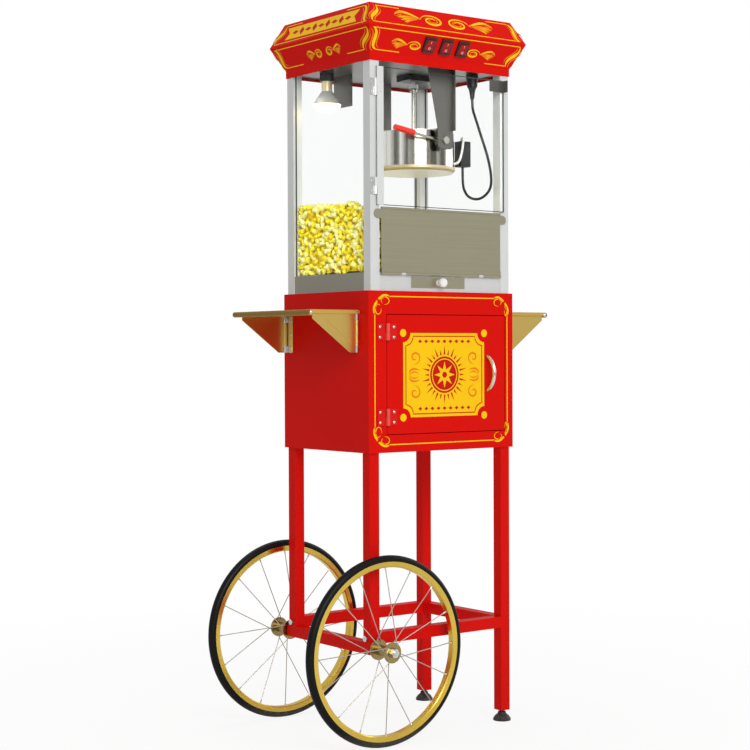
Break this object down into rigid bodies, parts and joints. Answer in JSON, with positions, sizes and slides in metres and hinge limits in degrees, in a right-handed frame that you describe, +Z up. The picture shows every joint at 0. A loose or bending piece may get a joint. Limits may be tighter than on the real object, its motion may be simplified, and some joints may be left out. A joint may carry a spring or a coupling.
{
  "type": "popcorn cart",
  "caption": "Floor-standing popcorn cart: glazed popper with tilting kettle on a cabinet with spoked wheels, levelling feet and folding side shelves.",
  "frame": {"origin": "on the floor, under the middle of the cart's box", "axes": "+Z up, -Y out of the doors, -X towards the wheels"},
  "size_m": [0.7236, 0.461, 1.575],
  "materials": {
    "red_paint": "gloss red enamel",
    "gold_metal": "bright gold",
    "bright_steel": "polished",
    "brushed_steel": "brushed",
    "aluminium": "satin",
    "clear_sheet": "clear",
    "black_rubber": "matte",
    "foot_rubber": "matte",
    "black_plastic": "matte",
    "white_plastic": "gloss",
    "red_plastic": "gloss",
    "bulb_glass": "frosted"
  },
  "bodies": {
    "cart": {"cabinet_wrap": "red_paint", "cabinet_front": "red_paint", "cabinet_pans": "brushed_steel", "door_hinge_bases": "red_paint", "cart_legs": "red_paint", "lower_rails": "red_paint", "axle_beam": "red_paint", "cart_fasteners": "bright_steel", "shelf_hinges": "bright_steel", "base_tray": "brushed_steel", "corner_posts": "aluminium", "window_glass": "clear_sheet", "clear_door_hinges": "bright_steel", "canopy_shell": "red_paint", "ceiling_plate": "brushed_steel", "switch_bezels": "black_plastic", "sockets": "black_plastic", "lamp_bulb": "bulb_glass", "stir_motor": "black_plastic", "kettle_hangers": "brushed_steel", "cord_plug": "black_plastic", "kettle_cord": "black_rubber"},
    "cabinet_door": {"cabinet_door": "red_paint", "door_hinge_leaves": "red_paint", "door_handle": "gold_metal"},
    "clear_door": {"clear_door": "clear_sheet", "clear_door_stile": "aluminium", "door_pull": "aluminium"},
    "serving_flap": {"serving_flap": "brushed_steel"},
    "crumb_drawer": {"crumb_drawer": "brushed_steel", "drawer_knob": "white_plastic"},
    "kettle": {"kettle_pot": "brushed_steel", "kettle_heater": "aluminium", "kettle_bridge": "brushed_steel", "kettle_handle": "brushed_steel", "handle_grip": "red_plastic", "terminal_box": "black_plastic"},
    "left_lid": {"left_lid": "brushed_steel"},
    "right_lid": {"right_lid": "brushed_steel"},
    "stirrer": {"stirrer": "brushed_steel"},
    "drive_coupling": {"drive_coupling": "aluminium"},
    "left_rocker": {"left_rocker": "red_plastic"},
    "middle_rocker": {"middle_rocker": "red_plastic"},
    "right_rocker": {"right_rocker": "red_plastic"},
    "front_wheel": {"front_tyre": "black_rubber", "front_rim": "gold_metal", "front_spokes": "bright_steel", "front_hub": "bright_steel"},
    "rear_wheel": {"rear_tyre": "black_rubber", "rear_rim": "gold_metal", "rear_spokes": "bright_steel", "rear_hub": "bright_steel"},
    "front_foot": {"front_foot": "foot_rubber"},
    "rear_foot": {"rear_foot": "foot_rubber"},
    "left_shelf": {"left_shelf": "gold_metal"},
    "right_shelf": {"right_shelf": "gold_metal"},
    "left_front_bracket": {"left_front_bracket": "gold_metal"},
    "left_rear_bracket": {"left_rear_bracket": "gold_metal"},
    "right_front_bracket": {"right_front_bracket": "gold_metal"},
    "right_rear_bracket": {"right_rear_bracket": "gold_metal"}
  },
  "joints": [
    {"name": "cabinet_door_swing", "type": "hinge", "parent": "cart", "child": "cabinet_door", "pos_m": [-0.129, -0.1645, 0.787], "axis": [0, 0, -1], "range_deg": [0, 120]},
    {"name": "clear_door_swing", "type": "hinge", "parent": "cart", "child": "clear_door", "pos_m": [-0.15675, -0.16, 1.295], "axis": [0, 0, -1], "range_deg": [0, 110]},
    {"name": "flap_drop", "type": "hinge", "parent": "cart", "child": "serving_flap", "pos_m": [0.02525, -0.15987, 1.003], "axis": [1, 0, 0], "range_deg": [0, 90]},
    {"name": "crumb_drawer_slide", "type": "slide", "parent": "cart", "child": "crumb_drawer", "axis": [0, -1, 0], "range_m": [0, 0.15]},
    {"name": "kettle_tilt", "type": "hinge", "parent": "cart", "child": "kettle", "pos_m": [0.07125, 0, 1.305], "axis": [0, -1, 0], "range_deg": [0, 100], "deforming": ["kettle_cord"]},
    {"name": "left_lid_flip", "type": "hinge", "parent": "kettle", "child": "left_lid", "pos_m": [0.05725, 0, 1.333], "axis": [0, 1, 0], "range_deg": [0, 80]},
    {"name": "right_lid_flip", "type": "hinge", "parent": "kettle", "child": "right_lid", "pos_m": [0.08525, 0, 1.333], "axis": [0, -1, 0], "range_deg": [0, 80]},
    {"name": "drive_spin", "type": "hinge", "parent": "cart", "child": "drive_coupling", "pos_m": [0.07125, 0, 1.46], "axis": [0, 0, 1], "continuous": true},
    {"name": "stirrer_spin", "type": "hinge", "parent": "kettle", "child": "stirrer", "pos_m": [0.07125, 0, 1.305], "axis": [0, 0, 1], "continuous": true},
    {"name": "left_rocker_tip", "type": "hinge", "parent": "cart", "child": "left_rocker", "pos_m": [-0.0225, -0.17689, 1.49675], "axis": [-1, 0, 0], "range_deg": [0, 8]},
    {"name": "middle_rocker_tip", "type": "hinge", "parent": "cart", "child": "middle_rocker", "pos_m": [0.0235, -0.17689, 1.49675], "axis": [-1, 0, 0], "range_deg": [0, 8]},
    {"name": "right_rocker_tip", "type": "hinge", "parent": "cart", "child": "right_rocker", "pos_m": [0.0695, -0.17689, 1.49675], "axis": [-1, 0, 0], "range_deg": [0, 8]},
    {"name": "front_wheel_spin", "type": "hinge", "parent": "cart", "child": "front_wheel", "pos_m": [-0.15875, -0.191, 0.203], "axis": [0, 1, 0], "continuous": true},
    {"name": "rear_wheel_spin", "type": "hinge", "parent": "cart", "child": "rear_wheel", "pos_m": [-0.15875, 0.191, 0.203], "axis": [0, 1, 0], "continuous": true},
    {"name": "front_foot_level", "type": "slide", "parent": "cart", "child": "front_foot", "axis": [0, 0, -1], "range_m": [0, 0.012]},
    {"name": "rear_foot_level", "type": "slide", "parent": "cart", "child": "rear_foot", "axis": [0, 0, -1], "range_m": [0, 0.012]},
    {"name": "left_shelf_lift", "type": "hinge", "parent": "cart", "child": "left_shelf", "pos_m": [-0.18225, 0.018, 0.921], "axis": [0, 1, 0], "range_deg": [0, 85]},
    {"name": "left_front_bracket_swing", "type": "hinge", "parent": "cart", "child": "left_front_bracket", "pos_m": [-0.18325, -0.1255, 0.875], "axis": [0, 0, -1], "range_deg": [0, 85]},
    {"name": "left_rear_bracket_swing", "type": "hinge", "parent": "cart", "child": "left_rear_bracket", "pos_m": [-0.18325, 0.148, 0.875], "axis": [0, 0, 1], "range_deg": [0, 85]},
    {"name": "right_shelf_lift", "type": "hinge", "parent": "cart", "child": "right_shelf", "pos_m": [0.23275, 0.018, 0.921], "axis": [0, -1, 0], "range_deg": [0, 85]},
    {"name": "right_front_bracket_swing", "type": "hinge", "parent": "cart", "child": "right_front_bracket", "pos_m": [0.23375, -0.1255, 0.875], "axis": [0, 0, 1], "range_deg": [0, 85]},
    {"name": "right_rear_bracket_swing", "type": "hinge", "parent": "cart", "child": "right_rear_bracket", "pos_m": [0.23375, 0.148, 0.875], "axis": [0, 0, -1], "range_deg": [0, 85]}
  ],
  "couplings": [
    {"joint": "drive_spin", "follows": "stirrer_spin", "ratio": 1}
  ]
}
